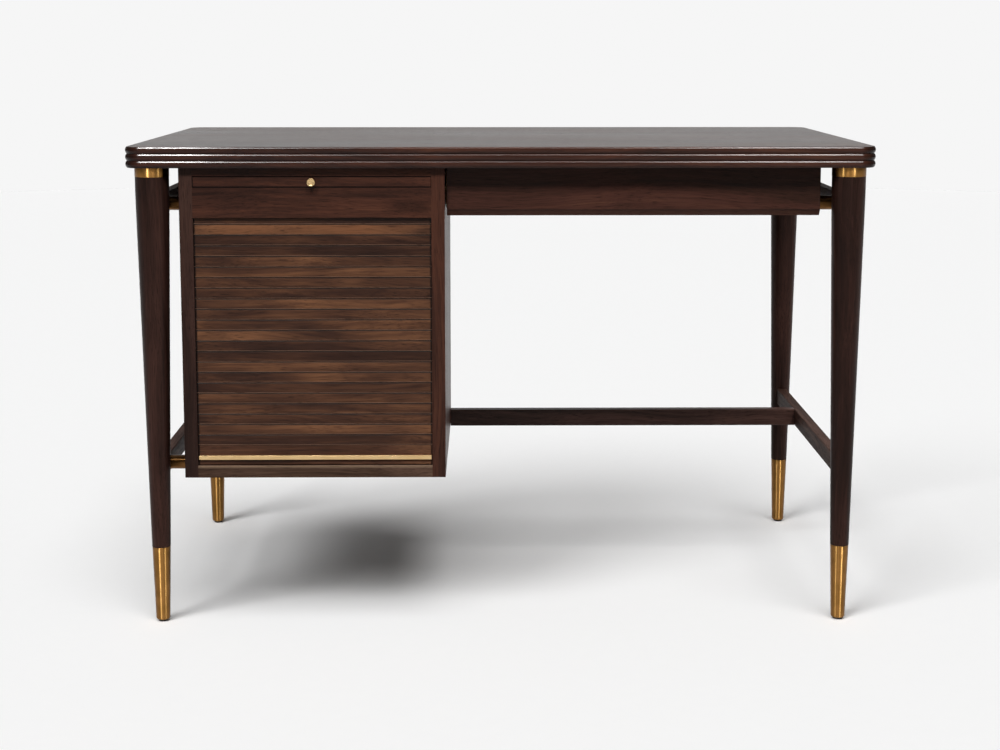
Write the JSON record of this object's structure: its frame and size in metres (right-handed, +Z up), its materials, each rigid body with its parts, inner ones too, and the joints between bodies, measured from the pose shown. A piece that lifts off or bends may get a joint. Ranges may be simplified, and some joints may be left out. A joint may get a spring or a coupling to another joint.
{
  "type": "tambour desk",
  "caption": "Writing desk with a reeded top on turned legs with metal sabots, a hanging tambour cabinet with a pull-out slide, and a pencil drawer.",
  "frame": {"origin": "on the floor, under the centre of the desk top", "axes": "+X to the sitter's right along the length, +Y away from the sitter, +Z up"},
  "size_m": [1.143, 0.61, 0.749],
  "materials": {
    "walnut": "dark stained walnut, satin lacquer",
    "walnut_tambour": "dark stained walnut slats, satin lacquer",
    "maple_inside": "clear sealed maple and ply, matt",
    "brass": "polished, lightly aged",
    "canvas": "cotton duck, glued",
    "glide": "moulded nylon",
    "screw": "plain countersunk"
  },
  "bodies": {
    "desk": {"cabinet_back": "walnut", "cabinet_bottom": "walnut", "cabinet_liner": "maple_inside", "cabinet_shelf": "walnut", "cabinet_side_left": "walnut", "cabinet_side_right": "walnut", "cross_rail": "walnut", "desk_top": "walnut", "drawer_case_back": "walnut", "drawer_case_side": "walnut", "drawer_runners": "maple_inside", "face_rail": "walnut", "foot_glides": "glide", "leg_collars": "brass", "leg_front_left": "walnut", "leg_front_right": "walnut", "leg_rear_left": "walnut", "leg_rear_right": "walnut", "lower_rail_left": "walnut", "lower_rail_right": "walnut", "sabots": "brass", "shelf_pins": "brass", "slide_bed": "maple_inside", "slide_keepers": "maple_inside", "spacers_lower_left": "brass", "spacers_upper_left": "brass", "spacers_upper_right": "brass", "tambour_canvas": "canvas", "tambour_slats": "walnut_tambour", "top_rail": "walnut", "upper_rail_left": "walnut", "upper_rail_right": "walnut"},
    "tambour": {"tambour_lead_rail": "walnut_tambour", "tambour_pull": "brass", "pull_screws": "screw"},
    "slide": {"writing_slide": "walnut", "slide_lip": "walnut", "slide_knob": "brass"},
    "drawer": {"drawer_front": "walnut", "drawer_side_left": "maple_inside", "drawer_side_right": "maple_inside", "drawer_back": "maple_inside", "drawer_bottom": "maple_inside"}
  },
  "joints": [
    {"name": "tambour_lift", "type": "slide", "parent": "desk", "child": "tambour", "axis": [0, 0, 1], "range_m": [0, 0.345], "deforming": ["tambour_slats", "tambour_canvas"]},
    {"name": "slide_pull", "type": "slide", "parent": "desk", "child": "slide", "axis": [0, -1, 0], "range_m": [0, 0.28]},
    {"name": "drawer_pull", "type": "slide", "parent": "desk", "child": "drawer", "axis": [0, -1, 0], "range_m": [0, 0.25]}
  ]
}
